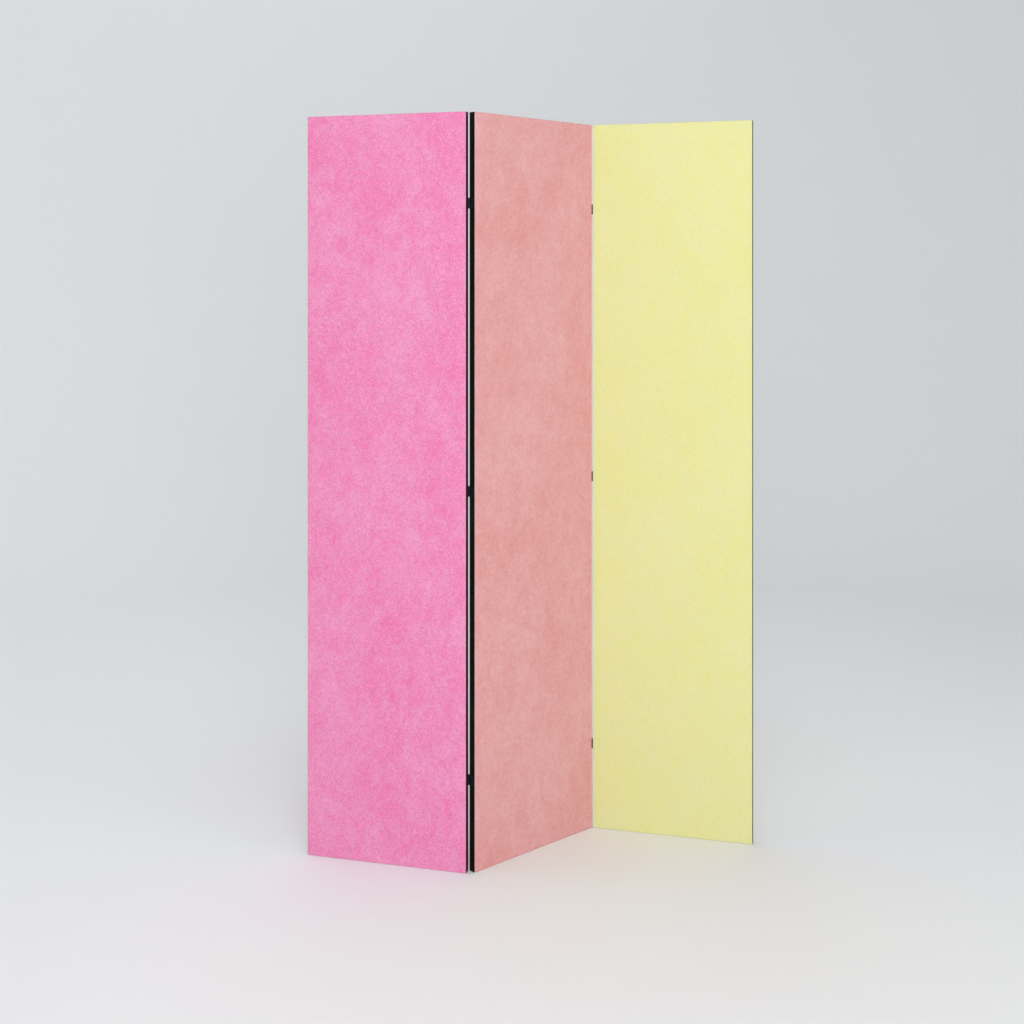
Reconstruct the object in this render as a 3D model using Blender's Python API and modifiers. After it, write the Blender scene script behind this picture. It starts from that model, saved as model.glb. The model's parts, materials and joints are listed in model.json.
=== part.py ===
"""Three-leaf folding screen: three tall cloth-faced leaves joined in a zigzag by six small butt hinges.

Z is up and the floor is z = 0. The origin is on the floor under the middle of the centre leaf.
Looking along +Y, the left fold stands towards the viewer and has its hinge pins behind the leaves,
and the right fold stands away from the viewer and has its pins in front of them.
"""

import math

import bmesh
import bpy
from mathutils import Matrix, Vector

# One leaf, outside sizes.
LEAF_WIDTH = 0.406
LEAF_HEIGHT = 1.800
LEAF_THICKNESS = 0.019
FOLD_ANGLE = math.radians(60)

# What a leaf is made of.
CLOTH_THICKNESS = 0.0005
FIT_GAP = 0.0003
FRAME_DEPTH = LEAF_THICKNESS - 2 * (CLOTH_THICKNESS + FIT_GAP)
STILE_WIDTH = 0.032
RAIL_HEIGHT = 0.032
CROSS_RAIL_HEIGHTS = {"lower": LEAF_HEIGHT / 3, "upper": 2 * LEAF_HEIGHT / 3}
CLOTH_MARGIN = 0.0003
ARRIS_ROUND = 0.0006
ARRIS_STEPS = 2

# Where a hinge pin runs, from the corner of each leaf that it joins.
PIN_PAST_EDGE = 0.0010
PIN_OFF_FACE = 0.0007

# One butt hinge.
HINGE_HEIGHT = 0.025
HINGE_END_INSET = 0.216
HINGE_HEIGHTS = {
    "bottom": HINGE_END_INSET,
    "middle": LEAF_HEIGHT / 2,
    "top": LEAF_HEIGHT - HINGE_END_INSET,
}
KNUCKLES = 3
CENTRE_KNUCKLES = (1,)
SIDE_KNUCKLES = (0, 2)
KNUCKLE_RADIUS = 0.0013
BORE_RADIUS = 0.0007
KNUCKLE_GAP = 0.0002
PLATE_THICKNESS = 0.0005
PLATE_WIDTH = 0.013
PLATE_START = 0.0016
SCREW_SPACING = 0.015
SCREW_HOLE_RADII = (0.0018, 0.0024)
PIN_RADIUS = 0.00062
PIN_HEAD_RADIUS = 0.0012
PIN_HEAD_HEIGHT = 0.0005
PIN_CROWN_SHARE = 0.65
PIN_CHAMFER_SHARE = 0.4
PIN_HEAD_GAP = 0.0001

ROUND_SIDES = 20
SHARP_ANGLE = math.radians(35)
CUTTER_MARGIN = 0.0004
WELD_DISTANCE = 0.000001
HUB_MARKER_SIZE = 0.05

# A pin stands this far from the middle of the leaf, along the leaf and across it.
PIN_ALONG = LEAF_WIDTH / 2 + PIN_PAST_EDGE
PIN_ACROSS = LEAF_THICKNESS / 2 + PIN_OFF_FACE

# Colours as linear red, green and blue, then roughness and metallic.
FINISHES = {
    "frame_black": ((0.010, 0.010, 0.011), 0.55, 0.0),
    "cloth_pink": ((0.86, 0.27, 0.48), 0.95, 0.0),
    "cloth_salmon": ((0.76, 0.37, 0.35), 0.95, 0.0),
    "cloth_yellow": ((0.83, 0.78, 0.36), 0.95, 0.0),
    "hinge_black": ((0.012, 0.012, 0.013), 0.45, 0.8),
    "pin_black": ((0.020, 0.020, 0.021), 0.35, 0.9),
}


def clear_scene():
    for thing in list(bpy.data.objects):
        bpy.data.objects.remove(thing, do_unlink=True)


def new_collection(name):
    collection = bpy.data.collections.new(name)
    bpy.context.scene.collection.children.link(collection)
    return collection


def put_in(collection, thing):
    for old in list(thing.users_collection):
        old.objects.unlink(thing)
    collection.objects.link(thing)


def make_material(name):
    colour, roughness, metallic = FINISHES[name]
    material = bpy.data.materials.new(name)
    material.use_nodes = True
    shader = material.node_tree.nodes["Principled BSDF"]
    shader.inputs["Base Color"].default_value = (*colour, 1.0)
    shader.inputs["Roughness"].default_value = roughness
    shader.inputs["Metallic"].default_value = metallic
    material.diffuse_color = (*colour, 1.0)
    return material


def hub(name, place, turn):
    """An empty that a leaf's pieces hang on; the two side leaves have theirs on the hinge axis."""
    empty = bpy.data.objects.new(name, None)
    PARTS.objects.link(empty)
    empty.location = place
    empty.rotation_euler = (0.0, 0.0, turn)
    empty.empty_display_size = HUB_MARKER_SIZE
    return empty


def block(name, size, place, parent, material, rounding):
    """A squared bar or sheet with its middle at place, its edges rounded where rounding is given."""
    bpy.ops.mesh.primitive_cube_add(size=1.0)
    piece = bpy.context.object
    piece.name = name
    piece.data.name = name
    piece.scale = size
    bpy.ops.object.transform_apply(location=False, rotation=False, scale=True)
    piece.parent = parent
    piece.location = place
    piece.data.materials.append(material)
    if rounding:
        edges = piece.modifiers.new("rounded_edges", "BEVEL")
        edges.width = rounding
        edges.segments = ARRIS_STEPS
    put_in(PARTS, piece)
    return piece


def leaf(side, parent, centre, cloth):
    """The frame of two stiles and four rails, and the cloth on its front and its back."""
    middle_x, middle_y = centre
    half_height = LEAF_HEIGHT / 2
    stile_offset = (LEAF_WIDTH - STILE_WIDTH) / 2
    for edge, sign in (("left", -1), ("right", 1)):
        size = (STILE_WIDTH, FRAME_DEPTH, LEAF_HEIGHT)
        place = (middle_x + sign * stile_offset, middle_y, half_height)
        block(f"{side}_leaf_{edge}_stile", size, place, parent, MATERIALS["frame_black"], ARRIS_ROUND)

    rail_length = LEAF_WIDTH - 2 * (STILE_WIDTH + FIT_GAP)
    rail_middles = {"bottom": RAIL_HEIGHT / 2, "top": LEAF_HEIGHT - RAIL_HEIGHT / 2}
    rail_middles.update({f"{level}_cross": height for level, height in CROSS_RAIL_HEIGHTS.items()})
    for level, height in rail_middles.items():
        size = (rail_length, FRAME_DEPTH, RAIL_HEIGHT)
        place = (middle_x, middle_y, height)
        block(f"{side}_leaf_{level}_rail", size, place, parent, MATERIALS["frame_black"], ARRIS_ROUND)

    cloth_size = (LEAF_WIDTH - 2 * CLOTH_MARGIN, CLOTH_THICKNESS, LEAF_HEIGHT - 2 * CLOTH_MARGIN)
    cloth_offset = (LEAF_THICKNESS - CLOTH_THICKNESS) / 2
    for face, sign in (("front", -1), ("back", 1)):
        place = (middle_x, middle_y + sign * cloth_offset, half_height)
        block(f"{side}_leaf_{face}_cloth", cloth_size, place, parent, MATERIALS[cloth], 0.0)


def ring_points(radius, start, end):
    """Points on an arc about the pin axis, from the start angle to the end angle."""
    steps = max(1, round(abs(end - start) / (2 * math.pi) * ROUND_SIDES))
    angles = [start + (end - start) * step / steps for step in range(steps + 1)]
    return [(radius * math.cos(angle), radius * math.sin(angle)) for angle in angles]


def plate_outline(facing):
    """A hinge plate seen along the pin: a flat strip whose near end curls round the pin.

    The strip runs along Y in the direction that facing gives, beside the pin on its -X side.
    """
    inner_x = FIT_GAP - PIN_PAST_EDGE
    outer_x = inner_x + PLATE_THICKNESS
    far_y = PLATE_START + PLATE_WIDTH
    start = math.acos(outer_x / KNUCKLE_RADIUS)
    end = math.acos(inner_x / KNUCKLE_RADIUS) - 2 * math.pi
    outline = [(inner_x, far_y), (outer_x, far_y)]
    outline += ring_points(KNUCKLE_RADIUS, start, end)
    return [(x, facing * y) for x, y in outline]


def tidied_mesh(thing, name):
    """The mesh that an object's modifiers make, with its caps welded and its faces pointing out."""
    bpy.context.view_layer.update()
    evaluated = thing.evaluated_get(bpy.context.evaluated_depsgraph_get())
    mesh = bpy.data.meshes.new_from_object(evaluated)
    mesh.name = name
    shape = bmesh.new()
    shape.from_mesh(mesh)
    bmesh.ops.remove_doubles(shape, verts=shape.verts, dist=WELD_DISTANCE)
    bmesh.ops.recalc_face_normals(shape, faces=shape.faces)
    shape.to_mesh(mesh)
    shape.free()
    return mesh


def extruded_mesh(name, rings, height):
    """A mesh with rings of points as its outline and its holes, centred on z = 0."""
    curve = bpy.data.curves.new(name, "CURVE")
    curve.dimensions = "2D"
    curve.fill_mode = "BOTH"
    curve.extrude = height / 2
    for ring in rings:
        spline = curve.splines.new("POLY")
        spline.points.add(len(ring) - 1)
        for point, (x, y) in zip(spline.points, ring):
            point.co = (x, y, 0.0, 1.0)
        spline.use_cyclic_u = True
    shape = bpy.data.objects.new(name, curve)
    PARTS.objects.link(shape)
    mesh = tidied_mesh(shape, name)
    bpy.data.objects.remove(shape, do_unlink=True)
    bpy.data.curves.remove(curve)
    return mesh


def as_cutter(name):
    """Names the primitive just added and puts it with the cutters."""
    cutter = bpy.context.object
    cutter.name = name
    cutter.hide_render = True
    cutter.display_type = "WIRE"
    put_in(CUTTERS, cutter)
    return cutter


def knuckle_notch(name, facing, level):
    """A box around the pin over one knuckle's height, where the other plate's knuckle goes."""
    knuckle_height = HINGE_HEIGHT / KNUCKLES
    low = level * knuckle_height - HINGE_HEIGHT / 2 - KNUCKLE_GAP / 2
    high = low + knuckle_height + KNUCKLE_GAP
    if level == 0:
        low -= CUTTER_MARGIN
    if level == KNUCKLES - 1:
        high += CUTTER_MARGIN
    reach = KNUCKLE_RADIUS + CUTTER_MARGIN
    size = (2 * reach, reach + PLATE_START, high - low)
    place = (0.0, facing * (PLATE_START - reach) / 2, (low + high) / 2)
    bpy.ops.mesh.primitive_cube_add(size=1.0, location=place)
    bpy.context.object.scale = size
    return as_cutter(name)


def screw_hole(name, facing, height):
    """A countersunk hole through the plate, widest on the side away from the leaf's edge."""
    inner, outer = SCREW_HOLE_RADII
    growth = CUTTER_MARGIN * (outer - inner) / PLATE_THICKNESS
    strip_middle_x = FIT_GAP - PIN_PAST_EDGE + PLATE_THICKNESS / 2
    strip_middle_y = PLATE_START + PLATE_WIDTH / 2
    bpy.ops.mesh.primitive_cone_add(
        vertices=ROUND_SIDES,
        radius1=inner - growth,
        radius2=outer + growth,
        depth=PLATE_THICKNESS + 2 * CUTTER_MARGIN,
        location=(strip_middle_x, facing * strip_middle_y, height),
        rotation=(0.0, math.pi / 2, 0.0),
    )
    return as_cutter(name)


def plate_mesh(name, facing, knuckles):
    """A hinge plate that keeps the given knuckles, about the pin axis and the middle of the hinge."""
    bore = ring_points(BORE_RADIUS, 0.0, 2 * math.pi)[:-1]
    blank = bpy.data.objects.new(name, extruded_mesh(name, [plate_outline(facing), bore], HINGE_HEIGHT))
    PARTS.objects.link(blank)
    notches = [level for level in range(KNUCKLES) if level not in knuckles]
    cutters = [knuckle_notch(f"{name}_notch_{level}", facing, level) for level in notches]
    for place, sign in (("lower", -1), ("upper", 1)):
        cutters.append(screw_hole(f"{name}_{place}_hole", facing, sign * SCREW_SPACING / 2))
    for cutter in cutters:
        cut = blank.modifiers.new(cutter.name, "BOOLEAN")
        cut.operation = "DIFFERENCE"
        cut.solver = "EXACT"
        cut.object = cutter
    mesh = tidied_mesh(blank, name)
    mesh.set_sharp_from_angle(angle=SHARP_ANGLE)
    mesh.materials.append(MATERIALS["hinge_black"])
    bpy.data.objects.remove(blank, do_unlink=True)
    return mesh


def pin_profile():
    """Half of the pin's outline, down its outer side: a head, the shank and the peened lower head."""
    top = HINGE_HEIGHT / 2 + PIN_HEAD_GAP + PIN_HEAD_HEIGHT
    under_head = top - PIN_HEAD_HEIGHT
    crown = PIN_HEAD_RADIUS * PIN_CROWN_SHARE
    shoulder = top - PIN_HEAD_HEIGHT * PIN_CHAMFER_SHARE
    upper = [
        (0.0, top),
        (crown, top),
        (PIN_HEAD_RADIUS, shoulder),
        (PIN_HEAD_RADIUS, under_head),
        (PIN_RADIUS, under_head),
    ]
    return upper + [(x, -z) for x, z in reversed(upper)]


def pin_mesh():
    profile = pin_profile()
    steps = [(index, index + 1) for index in range(len(profile) - 1)]
    mesh = bpy.data.meshes.new("hinge_pin_profile")
    mesh.from_pydata([(x, 0.0, z) for x, z in profile], steps, [])
    mesh.materials.append(MATERIALS["pin_black"])
    return mesh


def place_copy(name, mesh, parent, place, turn):
    piece = bpy.data.objects.new(name, mesh)
    piece.parent = parent
    piece.location = place
    piece.rotation_euler = (0.0, 0.0, turn)
    PARTS.objects.link(piece)
    return piece


def hinge_pin(name, mesh, parent, place):
    pin = place_copy(name, mesh, parent, place, 0.0)
    turned = pin.modifiers.new("turned", "SCREW")
    turned.angle = 2 * math.pi
    turned.steps = ROUND_SIDES
    turned.render_steps = ROUND_SIDES
    turned.use_merge_vertices = True
    turned.merge_threshold = WELD_DISTANCE
    turned.use_smooth_shade = False


def fold_hinges(side, sign, side_hub, centre_hub):
    """Three hinges on one fold; sign is -1 for the left fold and 1 for the right one."""
    side_turn = math.pi if sign > 0 else 0.0
    centre_turn = math.pi - side_turn
    for level, height in HINGE_HEIGHTS.items():
        on_centre = (sign * PIN_ALONG, -sign * PIN_ACROSS, height)
        name = f"{side}_fold_{level}_hinge"
        place_copy(f"{name}_side_plate", SIDE_PLATE, side_hub, (0.0, 0.0, height), side_turn)
        place_copy(f"{name}_centre_plate", CENTRE_PLATE, centre_hub, on_centre, centre_turn)
        hinge_pin(f"{name}_pin", PIN, centre_hub, on_centre)


def build_screen():
    half_fold = FOLD_ANGLE / 2
    centre_hub = hub("centre_leaf_hub", (0.0, 0.0, 0.0), half_fold)
    leaf("centre", centre_hub, (0.0, 0.0), "cloth_salmon")
    for side, sign, cloth in (("left", -1, "cloth_pink"), ("right", 1, "cloth_yellow")):
        pin_line = Vector((sign * PIN_ALONG, -sign * PIN_ACROSS, 0.0))
        pin_line.rotate(Matrix.Rotation(half_fold, 3, "Z"))
        side_hub = hub(f"{side}_leaf_hub", pin_line, -half_fold)
        leaf(side, side_hub, (sign * PIN_ALONG, sign * PIN_ACROSS), cloth)
        fold_hinges(side, sign, side_hub, centre_hub)


clear_scene()
PARTS = new_collection("folding_screen")
CUTTERS = new_collection("cutters")
MATERIALS = {name: make_material(name) for name in FINISHES}
SIDE_PLATE = plate_mesh("side_plate", -1, SIDE_KNUCKLES)
CENTRE_PLATE = plate_mesh("centre_plate", 1, CENTRE_KNUCKLES)
PIN = pin_mesh()
build_screen()
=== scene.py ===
"""Three-leaf folding screen: felt faces, painted bars, hinge screws and a studio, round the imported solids."""

import json
import math

import bmesh
import bpy
import numpy as np
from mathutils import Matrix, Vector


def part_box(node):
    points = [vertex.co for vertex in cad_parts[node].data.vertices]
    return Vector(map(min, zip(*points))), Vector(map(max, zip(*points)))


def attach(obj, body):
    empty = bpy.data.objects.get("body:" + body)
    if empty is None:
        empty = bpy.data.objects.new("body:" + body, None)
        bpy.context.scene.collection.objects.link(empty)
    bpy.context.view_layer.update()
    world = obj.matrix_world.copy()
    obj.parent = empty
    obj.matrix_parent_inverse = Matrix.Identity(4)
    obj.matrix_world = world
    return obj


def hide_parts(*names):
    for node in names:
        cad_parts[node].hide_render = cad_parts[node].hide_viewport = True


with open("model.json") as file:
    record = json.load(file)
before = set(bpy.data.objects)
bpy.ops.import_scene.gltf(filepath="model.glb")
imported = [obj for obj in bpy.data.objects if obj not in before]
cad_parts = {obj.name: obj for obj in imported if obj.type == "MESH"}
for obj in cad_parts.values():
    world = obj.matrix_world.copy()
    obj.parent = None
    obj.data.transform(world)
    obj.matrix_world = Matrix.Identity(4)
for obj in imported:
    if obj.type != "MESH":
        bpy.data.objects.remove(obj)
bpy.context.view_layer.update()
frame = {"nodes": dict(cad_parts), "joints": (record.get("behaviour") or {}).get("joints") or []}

bl_info = {
    "name": "Folding Screen",
    "version": (1, 0, 0),
    "blender": (4, 5, 0),
    "location": "3D View > Sidebar > Folding Screen",
    "description": "Covers, paints, screws together and lights a three-leaf folding screen",
    "category": "Object",
}

LEAVES = ("left", "centre", "right")
RAILS = ("bottom", "lower_cross", "upper_cross", "top")
# Felt looks per leaf. The darker tone and the speckle weight also paint shade into the hollows of the pile, and
# the light tone paints light on its raised fibres.
FELT_LOOKS = ("light", "deep_and_shade", "mottle", "speckle_and_shade", "speck_brightness")
UP = np.array([0.0, 0.0, 1.0])

# The floor lies this far under the leaves, so that no two faces share a plane.
FLOOR_DROP = 0.0002


# ---------------------------------------------------------------- where the leaves stand


def middle_of(node):
    low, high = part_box(node)
    return (np.array(low) + np.array(high)) / 2


def leaf_axes(leaf):
    """Three rows: along the leaf from left to right, across it from front to back, and up."""
    along = middle_of(f"{leaf}_leaf_right_stile") - middle_of(f"{leaf}_leaf_left_stile")
    along /= np.linalg.norm(along)
    return np.array([along, np.cross(UP, along), UP])


def leaf_turn(leaf):
    """How far the leaf is turned about Z from the X axis, in radians."""
    along = leaf_axes(leaf)[0]
    return math.atan2(along[1], along[0])


def spans(node, axes):
    """Lowest and highest corner of a solid, measured along a leaf's own axes."""
    mesh = frame["nodes"][node].data
    points = np.empty(len(mesh.vertices) * 3)
    mesh.vertices.foreach_get("co", points)
    own = points.reshape(-1, 3) @ axes.T
    return own.min(0), own.max(0)


def bars_of(leaf):
    names = ["left_stile", "right_stile"] + [f"{rail}_rail" for rail in RAILS]
    return [f"{leaf}_leaf_{name}" for name in names]


# ---------------------------------------------------------------- sizes and colours


def colour_property(name, description, default):
    return bpy.props.FloatVectorProperty(
        name=name, description=description, subtype="COLOR", size=3, min=0.0, max=1.0, default=default
    )


def length_property(name, description, default):
    return bpy.props.FloatProperty(
        name=name, description=description, unit="LENGTH", min=0.0, default=default
    )


def share_property(name, description, default):
    return bpy.props.FloatProperty(
        name=name, description=description, subtype="FACTOR", min=0.0, max=4.0, default=default
    )


class ClothSettings(bpy.types.PropertyGroup):
    """The felt on the leaves."""

    # Each leaf's felt mixes a light and a darker tone. Besides the random mottle, the mix follows the pile's
    # bump: the light tone is painted light on the raised fibres and the darker tone is painted shade between
    # them.
    left_light: colour_property("Left, light", "Raised fibres, left leaf", (0.724, 0.309, 0.489))
    left_deep_and_shade: colour_property("Left, deep", "Felt between the fibres, left leaf", (0.724, 0.149, 0.351))
    centre_light: colour_property("Centre, light", "Raised fibres, centre leaf", (0.686, 0.376, 0.386))
    centre_deep_and_shade: colour_property("Centre, deep", "Felt between the fibres, centre leaf", (0.620, 0.251, 0.234))
    right_light: colour_property("Right, light", "Raised fibres, right leaf", (0.684, 0.674, 0.353))
    right_deep_and_shade: colour_property("Right, deep", "Felt between the fibres, right leaf", (0.673, 0.663, 0.258))
    # Mottle moves the mix in clouds, patches and tufts; speckle moves it with the fibres. Tufts and fibres also
    # raise the bump, so these weights set painted shade in the pile's hollows as well as random tone.
    left_mottle: share_property("Left mottle", "How strongly the left leaf's felt is mottled", 0.8)
    left_speckle_and_shade: share_property("Left speckle", "How much fibres differ in tone, left leaf", 1.4)
    # The third weight of each leaf makes fine specks lighter and darker at random over the felt's colour.
    left_speck_brightness: share_property("Left lint", "How much fibres differ in brightness, left leaf", 0.80)
    centre_mottle: share_property("Centre mottle", "How strongly the centre leaf's felt is mottled", 0.8)
    centre_speckle_and_shade: share_property("Centre speckle", "How much fibres differ in tone, centre leaf", 1.15)
    centre_speck_brightness: share_property("Centre lint", "How much fibres differ in brightness, centre leaf", 0.50)
    right_mottle: share_property("Right mottle", "How strongly the right leaf's felt is mottled", 1.0)
    right_speckle_and_shade: share_property("Right speckle", "How much fibres differ in tone, right leaf", 0.8)
    right_speck_brightness: share_property("Right lint", "How much fibres differ in brightness, right leaf", 0.19)
    bedding: length_property("Bedding", "Gap between the felt and the bars under it", 0.00004)
    roll: length_property("Cut edge roll", "Radius of the felt's softened cut edge", 0.00035)
    hollow: length_property("Hollow", "How far the felt dips in the middle of an open bay", 0.00030)
    unevenness: length_property("Unevenness", "Height of the slow waves in the felt's surface", 0.00005)
    step: length_property("Grid step", "Distance between points on the felt's surface", 0.012)


class PaintSettings(bpy.types.PropertyGroup):
    """The black paint on the wooden bars."""

    paint: colour_property("Paint", "Black paint of the bars", (0.0065, 0.0060, 0.0065))
    dust: colour_property("Dust", "Faint dust that lightens the paint in places", (0.018, 0.018, 0.018))
    rubbed: colour_property("Rubbed arris", "Paint rubbed thin along the edges", (0.055, 0.047, 0.042))
    wear_width: length_property("Wear width", "How far the rubbing reaches from an edge", 0.0009)


class HingeSettings(bpy.types.PropertyGroup):
    """The butt hinges and their screws."""

    lacquer: colour_property("Lacquer", "Black lacquer of the hinge plates", (0.012, 0.013, 0.015))
    bare: colour_property("Rubbed steel", "Steel that shows where the lacquer is thin", (0.16, 0.16, 0.17))
    pin_steel: colour_property("Pin steel", "Blackened steel of the pins", (0.030, 0.031, 0.034))
    screw_steel: colour_property("Screw steel", "Blackened steel of the screws", (0.045, 0.045, 0.048))
    face_before_pin: length_property("Face before pin", "From the plate's outer face to the pin axis", 0.0002)
    holes_from_pin: length_property("Holes from pin", "From the pin axis to the line of screws", 0.0081)
    screw_spacing: length_property("Screw spacing", "Between a plate's two screws", 0.015)
    head_radius: length_property("Head radius", "Radius of a screw head", 0.0023)
    head_height: length_property("Head height", "Height of the countersunk head", 0.0010)
    shank_radius: length_property("Shank radius", "Radius of a screw under its head", 0.0011)
    screw_length: length_property("Screw length", "From the top of the head to the tip", 0.0100)
    recess_depth: length_property("Recess depth", "Depth of the cross recess at its middle", 0.0006)
    recess_arm: length_property("Recess arm", "Length of each arm of the cross recess", 0.0014)
    recess_half_width: length_property("Recess half width", "Half the width of an arm", 0.00034)


class StageSettings(bpy.types.PropertyGroup):
    """The studio: a round floor that sweeps up into a wall, soft lights and the camera."""

    floor_colour: colour_property("Floor", "Pale studio floor and wall", (0.795, 0.80, 0.805))
    floor_radius: length_property("Floor radius", "Radius of the flat part of the floor", 3.3)
    sweep_radius: length_property("Sweep radius", "Radius of the curve between floor and wall", 3.2)
    wall_height: length_property("Wall height", "Height of the top of the wall", 6.0)
    sky_colour: colour_property("Sky", "Light of the open sky, slightly cool", (0.90, 0.97, 1.0))
    sky_strength: share_property("Sky strength", "Brightness of the open sky over the studio", 0.31)
    lamp_gain: share_property("Lamp gain", "Brightness of all lamps together", 1.0)
    camera_place: bpy.props.FloatVectorProperty(
        name="Camera place", description="Where the camera stands", unit="LENGTH",
        default=(-0.89597, -3.39459, 1.38503)
    )
    camera_turn: bpy.props.FloatProperty(
        name="Camera turn", description="Turn to the right from looking along +Y", unit="ROTATION",
        default=math.radians(13.9437)
    )
    camera_rise: bpy.props.FloatProperty(
        name="Camera rise", description="Upright shift of the lens, as a share of the view", default=-0.21968
    )
    camera_lens: bpy.props.FloatProperty(
        name="Lens", description="Focal length in millimetres", unit="CAMERA", default=50.0
    )


class ScreenSettings(bpy.types.PropertyGroup):
    """All settings of the folding screen."""

    cloth: bpy.props.PointerProperty(type=ClothSettings, name="Cloth", description="The felt faces")
    paint: bpy.props.PointerProperty(type=PaintSettings, name="Paint", description="The painted bars")
    hinge: bpy.props.PointerProperty(type=HingeSettings, name="Hinges", description="The hinges and screws")
    stage: bpy.props.PointerProperty(type=StageSettings, name="Stage", description="The studio")


# ---------------------------------------------------------------- meshes


def grid_faces(rows, columns, start=0):
    """Quads between neighbouring points of a grid whose points are numbered row by row."""
    corner = start + np.arange(rows - 1)[:, None] * columns + np.arange(columns - 1)[None, :]
    return np.stack([corner, corner + 1, corner + columns + 1, corner + columns], axis=-1).reshape(-1, 4)


def make_piece(name, points, faces, sharp_angle):
    """An object at the origin from points and faces, its doubles merged and its faces turned outwards."""
    mesh = bpy.data.meshes.new(name)
    mesh.from_pydata(points.tolist(), [], faces.tolist())
    shape = bmesh.new()
    shape.from_mesh(mesh)
    bmesh.ops.remove_doubles(shape, verts=shape.verts, dist=1e-7)
    bmesh.ops.recalc_face_normals(shape, faces=shape.faces)
    shape.to_mesh(mesh)
    shape.free()
    mesh.shade_smooth()
    mesh.set_sharp_from_angle(angle=sharp_angle)
    piece = bpy.data.objects.new(name, mesh)
    bpy.context.scene.collection.objects.link(piece)
    return piece


# ---------------------------------------------------------------- shader building


def add_node(tree, kind, inputs=None, **properties):
    """A shader node with its properties set, and its inputs linked or set by name or number."""
    made = tree.nodes.new(kind)
    for key, value in properties.items():
        setattr(made, key, value)
    for key, value in (inputs or {}).items():
        if isinstance(value, bpy.types.NodeSocket):
            tree.links.new(value, made.inputs[key])
        else:
            made.inputs[key].default_value = value
    return made


def new_material(name):
    material = bpy.data.materials.new(name)
    material.use_nodes = True
    return material, material.node_tree, material.node_tree.nodes["Principled BSDF"]


def own_place(tree, turn=0.0, offset=(0.0, 0.0, 0.0), stretch=(1.0, 1.0, 1.0)):
    """The piece's own coordinates in metres, turned back to the leaf's axes, moved and stretched."""
    coordinates = add_node(tree, "ShaderNodeTexCoord").outputs["Object"]
    inputs = {"Vector": coordinates, "Rotation": (0.0, 0.0, -turn), "Location": offset, "Scale": stretch}
    return add_node(tree, "ShaderNodeMapping", inputs, vector_type="POINT").outputs["Vector"]


def stretched(tree, place, stretch):
    return add_node(tree, "ShaderNodeMapping", {"Vector": place, "Scale": stretch}).outputs["Vector"]


def noise(tree, place, scale, detail, roughness, distortion=0.0):
    inputs = {"Vector": place, "Scale": scale, "Detail": detail}
    inputs.update({"Roughness": roughness, "Distortion": distortion})
    return add_node(tree, "ShaderNodeTexNoise", inputs).outputs["Fac"]


def calculate(tree, operation, first, second=0.0, clamp=False):
    inputs = {0: first, 1: second}
    return add_node(tree, "ShaderNodeMath", inputs, operation=operation, use_clamp=clamp).outputs[0]


def map_range(tree, value, from_low, from_high, to_low=0.0, to_high=1.0):
    inputs = {"Value": value, "From Min": from_low, "From Max": from_high}
    inputs.update({"To Min": to_low, "To Max": to_high})
    return add_node(tree, "ShaderNodeMapRange", inputs, interpolation_type="SMOOTHSTEP").outputs["Result"]


def weighted_sum(tree, base, terms):
    """base plus each pattern's distance from its middle grey times its weight."""
    total = base
    for pattern, weight in terms:
        centred = calculate(tree, "SUBTRACT", pattern, 0.5)
        total = calculate(tree, "ADD", total, calculate(tree, "MULTIPLY", centred, weight))
    return total


def mix_colour(tree, factor, first, second, blend="MIX"):
    made = tree.nodes.new("ShaderNodeMix")
    made.data_type = "RGBA"
    made.blend_type = blend
    for index, value in ((0, factor), (6, first), (7, second)):
        if isinstance(value, bpy.types.NodeSocket):
            tree.links.new(value, made.inputs[index])
        else:
            made.inputs[index].default_value = value if index == 0 else (*value, 1.0)
    return made.outputs[2]


def bump(tree, height, strength, distance):
    inputs = {"Height": height, "Strength": strength, "Distance": distance}
    return add_node(tree, "ShaderNodeBump", inputs).outputs["Normal"]


# ---------------------------------------------------------------- felt


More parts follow.
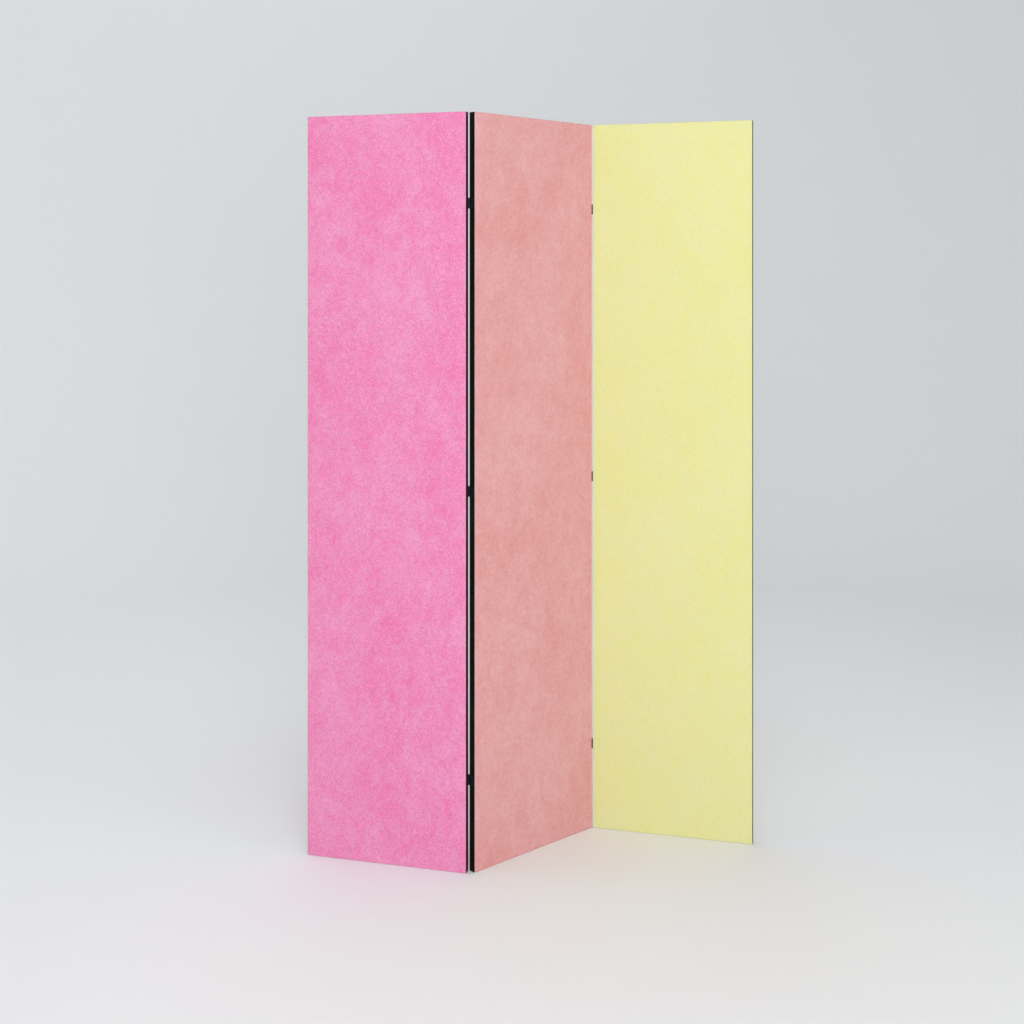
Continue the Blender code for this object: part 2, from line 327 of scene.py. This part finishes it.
def felt_material(name, turn, offset, light, deep_and_shade, mottle, speckle_and_shade, speck_brightness):
    """Matt felt: a light and a darker tone mixed by clouds, patches, tufts and fibres, with fine specks lighter
    and darker at random over them. Tufts and fibres also raise the bump, so the mix paints light on the raised
    pile and shade in its hollows.
    """
    material, tree, shader = new_material(name)
    place = own_place(tree, turn, offset)
    tall = stretched(tree, place, (1.0, 1.0, 0.72))
    clouds = noise(tree, tall, 5.5, 2.0, 0.5, 0.3)
    patches = noise(tree, tall, 30.0, 3.0, 0.6, 0.5)
    tufts = noise(tree, place, 90.0, 2.0, 0.6, 0.4)
    fibres = noise(tree, place, 250.0, 2.0, 0.7, 0.8)
    # Tufts and fibres also shape the bump below, so this tone is lighter on raised pile and darker in its
    # hollows: painted light and painted shade, on top of the random mottle of clouds and patches.
    terms = ((clouds, 0.9 * mottle), (patches, 1.2 * mottle), (tufts, 1.0 * mottle), (fibres, speckle_and_shade))
    tone_and_shade = calculate(tree, "ADD", weighted_sum(tree, 0.5, terms), 0.0, clamp=True)
    # Fine specks made lighter and darker at random, multiplied over the colour.
    specks = noise(tree, stretched(tree, place, (1.0, 1.0, 1.4)), 310.0, 2.0, 0.6, 0.3)
    bright = weighted_sum(tree, 1.0, ((specks, speck_brightness),))
    grey = add_node(tree, "ShaderNodeCombineColor", {0: bright, 1: bright, 2: bright}).outputs[0]
    colour = mix_colour(tree, 1.0, mix_colour(tree, tone_and_shade, deep_and_shade, light), grey, "MULTIPLY")
    tree.links.new(colour, shader.inputs["Base Color"])
    rough = map_range(tree, fibres, 0.3, 0.7, 0.86, 0.98)
    tree.links.new(rough, shader.inputs["Roughness"])
    pile = weighted_sum(tree, 0.5, ((fibres, 1.0), (tufts, 0.5)))
    tree.links.new(bump(tree, pile, 0.35, 0.0004), shader.inputs["Normal"])
    shader.inputs["Specular IOR Level"].default_value = 0.15
    shader.inputs["Sheen Weight"].default_value = 0.12
    shader.inputs["Sheen Roughness"].default_value = 0.55
    return material


def roll_depth(distance, radius):
    """How far the surface drops at a distance in from the cut edge: a quarter circle of the roll's radius."""
    inward = np.clip(radius - distance, 0.0, radius)
    return radius - np.sqrt(radius**2 - inward**2)


def edge_spaced(low, high, radius, step):
    """Places from low to high: close together over the rolled edge at both ends, and a step apart between."""
    quarter = radius * (1 - np.cos(np.linspace(0.0, math.pi / 2, 5)))
    count = max(2, round((high - low - 2 * radius) / step) + 1)
    between = np.linspace(low + radius, high - radius, count)
    return np.concatenate([low + quarter[:-1], between, high - quarter[:-1][::-1]])


def bay_shape(places, bays):
    """1 in the middle of each open bay and 0 over the bars, as half a sine wave from bar to bar."""
    shape = np.zeros_like(places)
    for low, high in bays:
        share = (places - low) / (high - low)
        inside = (share > 0) & (share < 1)
        shape[inside] = np.sin(math.pi * share[inside])
    return shape


def slow_waves(across, height, seed):
    """A sum of six long sine waves in random directions, between about -1 and 1."""
    random = np.random.default_rng(seed)
    total = np.zeros(np.broadcast(across, height).shape)
    for length in np.linspace(0.09, 0.45, 6):
        angle, phase = random.uniform(0.0, 2 * math.pi, 2)
        total += np.sin((across * math.cos(angle) + height * math.sin(angle)) * 2 * math.pi / length + phase)
    return total / 6


def felt_sheet(leaf, side, settings, seed):
    """A thin closed sheet: rolled edges, hollow bays and slow waves outside, and just off the bars inside.

    Outer height = thickness - edge roll - hollow x (half sine across) x (half sine up the bay) + waves.
    """
    axes = leaf_axes(leaf)
    low, high = spans(f"{leaf}_leaf_{side}_cloth", axes)
    bar_low, bar_high = spans(f"{leaf}_leaf_left_stile", axes)
    outward = -1.0 if side == "front" else 1.0
    face = low[1] if side == "front" else high[1]
    bed = (bar_low[1] if side == "front" else bar_high[1]) + outward * settings.bedding
    across = edge_spaced(low[0], high[0], settings.roll, settings.step)
    heights = edge_spaced(low[2], high[2], settings.roll, settings.step)
    x, z = np.meshgrid(across, heights)

    left_open = spans(f"{leaf}_leaf_left_stile", axes)[1][0]
    right_open = spans(f"{leaf}_leaf_right_stile", axes)[0][0]
    rails = [spans(f"{leaf}_leaf_{rail}_rail", axes) for rail in RAILS]
    openings = [(below[1][2], above[0][2]) for below, above in zip(rails, rails[1:])]
    bays = bay_shape(across, [(left_open, right_open)])[None, :] * bay_shape(heights, openings)[:, None]
    dip = settings.hollow * bays

    edge_drop = roll_depth(np.minimum(x - low[0], high[0] - x), settings.roll)
    edge_drop = np.maximum(edge_drop, roll_depth(np.minimum(z - low[2], high[2] - z), settings.roll))
    inset = np.minimum(np.minimum(x - low[0], high[0] - x), np.minimum(z - low[2], high[2] - z))
    fade = np.clip(inset / (10 * settings.roll), 0.0, 1.0)
    waves = settings.unevenness * (slow_waves(x, z, seed) - 1.0) * fade

    outer = face - outward * (edge_drop + dip) + outward * waves
    inner = bed - outward * dip
    front = np.stack([x, outer, z], axis=-1)
    back = np.stack([x, np.broadcast_to(inner, x.shape), z], axis=-1)
    points = np.concatenate([front.reshape(-1, 3), back.reshape(-1, 3)]) @ axes

    rows, columns = x.shape
    numbers = np.arange(rows * columns).reshape(rows, columns)
    rim = np.concatenate([numbers[0, :-1], numbers[:-1, -1], numbers[-1, :0:-1], numbers[:0:-1, 0]])
    after = np.roll(rim, -1)
    walls = np.stack([rim, after, after + rows * columns, rim + rows * columns], axis=-1)
    faces = np.concatenate([grid_faces(rows, columns), grid_faces(rows, columns, rows * columns), walls])
    piece = make_piece(f"{leaf}_{side}_felt", points, faces, math.radians(50))
    return piece, (high[0] - low[0], high[2] - low[2])


class DIVIDER_OT_felt(bpy.types.Operator):
    """Make the felt on the front and the back of each leaf"""

    bl_idname = "divider.felt"
    bl_label = "Felt Faces"

    def execute(self, context):
        settings = context.scene.folding_screen.cloth
        for number, leaf in enumerate(LEAVES):
            for side in ("front", "back"):
                seed = 10 * number + (1 if side == "back" else 0)
                piece, cut = felt_sheet(leaf, side, settings, seed)
                offset = (3.7 * number + 1.3, 5.1 if side == "back" else 0.0, 0.9 * number)
                looks = [getattr(settings, f"{leaf}_{look}") for look in FELT_LOOKS]
                name = f"{leaf}_{side}_felt"
                piece.data.materials.append(felt_material(name, leaf_turn(leaf), offset, *looks))
                node = f"{leaf}_leaf_{side}_cloth"
                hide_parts(node)
                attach(piece, f"{leaf}_leaf")
        return {"FINISHED"}


# ---------------------------------------------------------------- painted bars


def bar_material(name, leaf, node, settings):
    """Black painted softwood: brushed grain along the bar, faint dust, and paint rubbed thin near the edges.

    The distance to the nearest edge is the middle one of the three distances to the bar's faces.
    """
    material, tree, shader = new_material(name)
    axes = leaf_axes(leaf)
    low, high = spans(node, axes)
    middle, half = (low + high) / 2, (high - low) / 2
    place = own_place(tree, leaf_turn(leaf), tuple(-middle))
    parts = add_node(tree, "ShaderNodeSeparateXYZ", {"Vector": place})
    gaps = [
        calculate(tree, "SUBTRACT", float(half[axis]), calculate(tree, "ABSOLUTE", parts.outputs[axis]))
        for axis in range(3)
    ]
    pairs = ((0, 1), (1, 2), (0, 2))
    larger = [calculate(tree, "MAXIMUM", gaps[first], gaps[second]) for first, second in pairs]
    edge = calculate(tree, "MINIMUM", calculate(tree, "MINIMUM", larger[0], larger[1]), larger[2])

    grain_stretch = (1.0, 1.0, 0.03) if half[2] > half[0] else (0.03, 1.0, 1.0)
    grain = noise(tree, stretched(tree, place, grain_stretch), 420.0, 4.0, 0.65, 0.2)
    orange_peel = noise(tree, place, 900.0, 2.0, 0.5)
    dusty = map_range(tree, noise(tree, place, 16.0, 4.0, 0.6, 0.5), 0.5, 0.8)
    scuffs = noise(tree, place, 130.0, 3.0, 0.7, 0.6)
    reach = calculate(tree, "MULTIPLY", scuffs, 2 * settings.wear_width)
    worn = map_range(tree, calculate(tree, "SUBTRACT", reach, edge), 0.0, settings.wear_width)

    dust_share = calculate(tree, "MULTIPLY", dusty, 0.6)
    dusted = mix_colour(tree, dust_share, tuple(settings.paint), tuple(settings.dust))
    colour = mix_colour(tree, calculate(tree, "MULTIPLY", worn, 0.55), dusted, tuple(settings.rubbed))
    tree.links.new(colour, shader.inputs["Base Color"])
    rough = weighted_sum(tree, 0.62, ((grain, 0.16), (dusty, 0.12)))
    polished = calculate(tree, "SUBTRACT", rough, calculate(tree, "MULTIPLY", worn, 0.12))
    tree.links.new(polished, shader.inputs["Roughness"])
    relief = weighted_sum(tree, 0.5, ((grain, 1.0), (orange_peel, 0.35)))
    tree.links.new(bump(tree, relief, 0.3, 0.0003), shader.inputs["Normal"])
    shader.inputs["Specular IOR Level"].default_value = 0.1
    return material


def repaint(node, material):
    """Give a solid one material. Its mesh and its shading stay as packed."""
    slots = frame["nodes"][node].data.materials
    slots.clear()
    slots.append(material)


class DIVIDER_OT_bars(bpy.types.Operator):
    """Paint the stiles and rails of each leaf"""

    bl_idname = "divider.bars"
    bl_label = "Painted Bars"

    def execute(self, context):
        settings = context.scene.folding_screen.paint
        for leaf in LEAVES:
            for node in bars_of(leaf):
                repaint(node, bar_material(f"paint_{node}", leaf, node, settings))
        return {"FINISHED"}


# ---------------------------------------------------------------- hinges


def steel_material(name, turn, colour, bare, roughness, metallic):
    """Black finished steel: fine pebbling, small rubs down to brighter metal, and smeared roughness."""
    material, tree, shader = new_material(name)
    place = own_place(tree, turn)
    pebbles = noise(tree, place, 2200.0, 2.0, 0.5)
    smears = noise(tree, place, 260.0, 3.0, 0.6, 0.6)
    rubs = map_range(tree, noise(tree, place, 700.0, 3.0, 0.7, 0.4), 0.62, 0.80)
    shade = mix_colour(tree, calculate(tree, "MULTIPLY", rubs, 0.35), colour, bare)
    tree.links.new(shade, shader.inputs["Base Color"])
    smeared = weighted_sum(tree, roughness, ((smears, 0.25), (pebbles, 0.10)))
    tree.links.new(smeared, shader.inputs["Roughness"])
    relief = weighted_sum(tree, 0.5, ((pebbles, 0.6), (smears, 0.4)))
    tree.links.new(bump(tree, relief, 0.25, 0.00008), shader.inputs["Normal"])
    shader.inputs["Metallic"].default_value = metallic
    return material


def hinge_nodes():
    """(node, leaf that it is on, the fold's joint) of every hinge plate and pin."""
    found = []
    for joint in frame["joints"]:
        side = joint["child"].removesuffix("_leaf")
        for level in ("bottom", "middle", "top"):
            stem = f"{side}_fold_{level}_hinge"
            found.append((f"{stem}_side_plate", side, joint))
            found.append((f"{stem}_centre_plate", "centre", joint))
            found.append((f"{stem}_pin", "centre", joint))
    return found


class DIVIDER_OT_hinges(bpy.types.Operator):
    """Lacquer the hinge plates and blacken the pins"""

    bl_idname = "divider.hinges"
    bl_label = "Hinge Finish"

    def execute(self, context):
        settings = context.scene.folding_screen.hinge
        bare = tuple(settings.bare)
        for leaf in LEAVES:
            turn = leaf_turn(leaf)
            plate = steel_material(f"{leaf}_plate_lacquer", turn, tuple(settings.lacquer), bare, 0.42, 0.35)
            pin = steel_material(f"{leaf}_pin_steel", turn, tuple(settings.pin_steel), bare, 0.34, 0.9)
            for node, on_leaf, _ in hinge_nodes():
                if on_leaf == leaf:
                    repaint(node, pin if node.endswith("_pin") else plate)
        return {"FINISHED"}


def screw_points(settings):
    """A countersunk cross-head screw pointing down from z = 0: a turned profile with the recess pressed in.

    Rings run from the middle of the head over its rim, down the cone and the shank to the tip. The recess is as
    deep as a cross of two bars, each fading from the middle to the ends of its arms.
    """
    head, shank, tip = settings.head_radius, settings.shank_radius, settings.screw_length
    rim_top, rim_foot = 0.00004, 0.00010
    shank_end, point_start = tip * 0.72, tip * 0.9
    crown = np.linspace(0.0, head * 0.97, 13)
    crown_z = np.zeros_like(crown)
    side = np.array([head, head, shank, shank, shank * 0.55, 0.0])
    side_z = -np.array([rim_top, rim_foot, settings.head_height, shank_end, point_start, tip])
    radius = np.concatenate([crown, side])
    height = np.concatenate([crown_z, side_z])
    angle = np.linspace(0.0, 2 * math.pi, 49)
    x = radius[:, None] * np.cos(angle)
    y = radius[:, None] * np.sin(angle)
    z = np.broadcast_to(height[:, None], x.shape).copy()
    pressed = np.zeros_like(x)
    half_width = settings.recess_half_width
    for along, aside in ((x, y), (y, x)):
        inside = np.clip((half_width - np.abs(aside)) / (0.35 * half_width), 0.0, 1.0)
        fade = np.clip(1.0 - np.abs(along) / settings.recess_arm, 0.0, 1.0)
        pressed = np.maximum(pressed, inside * np.sqrt(fade))
    z[: len(crown)] -= settings.recess_depth * pressed[: len(crown)]
    return np.stack([x, y, z], axis=-1)


def screw_places(node, leaf, joint, settings):
    """Where a plate's two screws sit, and the outward direction of their heads, in the object's frame."""
    axes = leaf_axes(leaf)
    pin = axes @ np.array(joint["pos_m"])
    stile_low, stile_high = spans(f"{leaf}_leaf_left_stile", axes)
    rail_low, rail_high = spans(f"{leaf}_leaf_bottom_rail", axes)
    outward = math.copysign(1.0, pin[0] - (rail_low[0] + rail_high[0]) / 2)
    inward_across = math.copysign(1.0, (stile_low[1] + stile_high[1]) / 2 - pin[1])
    along = pin[0] - outward * settings.face_before_pin
    across = pin[1] + inward_across * settings.holes_from_pin
    middle = middle_of(node)[2]
    for name, shift in (("lower", -0.5), ("upper", 0.5)):
        own = np.array([along, across, middle + shift * settings.screw_spacing])
        yield name, own @ axes, outward * axes[0]


class DIVIDER_OT_screws(bpy.types.Operator):
    """Make the two countersunk screws of each hinge plate"""

    bl_idname = "divider.screws"
    bl_label = "Hinge Screws"

    def execute(self, context):
        settings = context.scene.folding_screen.hinge
        model = screw_points(settings)
        faces = grid_faces(*model.shape[:2])
        colours = tuple(settings.screw_steel), tuple(settings.bare)
        steel = {
            leaf: steel_material(f"{leaf}_screw_steel", leaf_turn(leaf), *colours, 0.38, 0.9) for leaf in LEAVES
        }
        random = np.random.default_rng(7)
        for node, leaf, joint in hinge_nodes():
            if node.endswith("_pin"):
                continue
            for name, place, outward in screw_places(node, leaf, joint, settings):
                spin = random.uniform(0.0, math.pi / 2)
                level = np.cross(UP, outward)
                first = math.cos(spin) * level + math.sin(spin) * UP
                turned = np.array([first, np.cross(outward, first), outward])
                points = model.reshape(-1, 3) @ turned + place
                piece = make_piece(f"{node}_{name}_screw", points, faces, math.radians(35))
                piece.data.materials.append(steel[leaf])
                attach(piece, f"{leaf}_leaf")
        return {"FINISHED"}


# ---------------------------------------------------------------- studio


def studio_dish(settings):
    """A turned surface: flat floor, then a quarter circle up into an upright wall, all the way round."""
    quarter = np.linspace(0.0, math.pi / 2, 25)[1:]
    flat = np.array([0.0, 0.6, 1.2, 1.8, 2.4, settings.floor_radius])
    radius = np.concatenate([flat, settings.floor_radius + settings.sweep_radius * np.sin(quarter)])
    height = np.concatenate([np.zeros_like(flat), settings.sweep_radius * (1 - np.cos(quarter))])
    radius = np.append(radius, radius[-1])
    height = np.append(height, settings.wall_height)
    angle = np.linspace(0.0, 2 * math.pi, 97)
    x = radius[:, None] * np.cos(angle)
    y = radius[:, None] * np.sin(angle)
    z = np.broadcast_to(height[:, None], x.shape)
    return np.stack([x, y, z], axis=-1).reshape(-1, 3), grid_faces(*x.shape)


# name, place, point aimed at, width and height, power in watts
LAMPS = (
    ("front_softbox", (-1.2, -5.2, 2.4), (0.0, 0.0, 0.9), (2.4, 2.0), 80.0),
    ("low_front_softbox", (-0.6, -5.0, 1.3), (0.0, 0.0, 0.8), (2.0, 1.0), 52.0),
    ("right_softbox", (3.6, -3.2, 2.2), (0.0, 0.0, 0.9), (2.4, 2.4), 22.0),
    ("near_ceiling", (-0.8, -3.0, 5.6), (-0.8, -2.99, 0.0), (3.0, 3.0), 54.0),
    ("left_ceiling", (-3.5, 1.5, 5.6), (-3.0, 1.5, 0.0), (4.0, 4.0), 40.0),
    ("back_ceiling", (0.0, 4.0, 5.6), (0.0, 4.01, 0.0), (4.0, 4.0), 48.0),
    ("middle_ceiling", (0.0, -0.5, 5.6), (0.0, -0.49, 0.0), (4.0, 4.0), 42.0),
    ("wall_softbox", (-4.0, 1.0, 4.5), (-1.5, 6.5, 1.5), (3.0, 3.0), 20.0),
)


def add_light(name, place, target, size, power):
    light = bpy.data.lights.new(name, "AREA")
    light.shape = "RECTANGLE"
    light.size, light.size_y = size
    light.energy = power
    lamp = bpy.data.objects.new(name, light)
    lamp.location = place
    aim = np.array(target) - np.array(place)
    level = math.hypot(aim[0], aim[1])
    lamp.rotation_euler = (math.atan2(level, -aim[2]), 0.0, math.atan2(aim[1], aim[0]) - math.pi / 2)
    lamp.visible_camera = False
    bpy.context.scene.collection.objects.link(lamp)


class DIVIDER_OT_stage(bpy.types.Operator):
    """Build the studio floor and wall, the soft lights, the sky and the camera"""

    bl_idname = "divider.stage"
    bl_label = "Studio"

    def execute(self, context):
        settings = context.scene.folding_screen.stage
        scene = context.scene
        points, faces = studio_dish(settings)
        points[:, 2] -= FLOOR_DROP
        dish = make_piece("studio_dish", points, faces, math.radians(60))
        material, _, shader = new_material("studio_paper")
        shader.inputs["Base Color"].default_value = (*settings.floor_colour, 1.0)
        shader.inputs["Roughness"].default_value = 0.9
        shader.inputs["Specular IOR Level"].default_value = 0.1
        dish.data.materials.append(material)

        sky = bpy.data.worlds.new("open_sky")
        sky.use_nodes = True
        background = sky.node_tree.nodes["Background"]
        background.inputs["Color"].default_value = (*settings.sky_colour, 1.0)
        background.inputs["Strength"].default_value = settings.sky_strength
        scene.world = sky

        for name, place, target, size, power in LAMPS:
            add_light(name, place, target, size, power * settings.lamp_gain)

        camera = bpy.data.cameras.new("studio_camera")
        camera.lens = settings.camera_lens
        camera.shift_y = settings.camera_rise
        camera.clip_start, camera.clip_end = 0.05, 60.0
        viewer = bpy.data.objects.new("studio_camera", camera)
        viewer.location = settings.camera_place
        viewer.rotation_euler = (math.pi / 2, 0.0, -settings.camera_turn)
        scene.collection.objects.link(viewer)
        scene.camera = viewer
        scene.view_settings.view_transform = "Standard"
        scene.view_settings.look = "None"
        return {"FINISHED"}


# ---------------------------------------------------------------- panel and start


class DIVIDER_PT_sidebar(bpy.types.Panel):
    """The folding screen's steps and settings"""

    bl_idname = "DIVIDER_PT_sidebar"
    bl_label = "Folding Screen"
    bl_space_type = "VIEW_3D"
    bl_region_type = "UI"
    bl_category = "Folding Screen"

    def draw(self, context):
        settings = context.scene.folding_screen
        for step in STEPS:
            self.layout.operator(step.bl_idname)
        for group in (settings.cloth, settings.paint, settings.hinge, settings.stage):
            box = self.layout.box()
            box.label(text=group.bl_rna.name)
            for key in group.__annotations__:
                box.prop(group, key)


STEPS = (DIVIDER_OT_felt, DIVIDER_OT_bars, DIVIDER_OT_hinges, DIVIDER_OT_screws, DIVIDER_OT_stage)
SETTINGS = (ClothSettings, PaintSettings, HingeSettings, StageSettings, ScreenSettings)
CLASSES = (*SETTINGS, *STEPS, DIVIDER_PT_sidebar)


def register():
    for each in CLASSES:
        bpy.utils.register_class(each)
    bpy.types.Scene.folding_screen = bpy.props.PointerProperty(type=ScreenSettings)


def unregister():
    del bpy.types.Scene.folding_screen
    for each in reversed(CLASSES):
        bpy.utils.unregister_class(each)


def main():
    register()
    bpy.ops.divider.felt()
    bpy.ops.divider.bars()
    bpy.ops.divider.hinges()
    bpy.ops.divider.screws()
    bpy.ops.divider.stage()


if __name__ == "__main__":
    main()
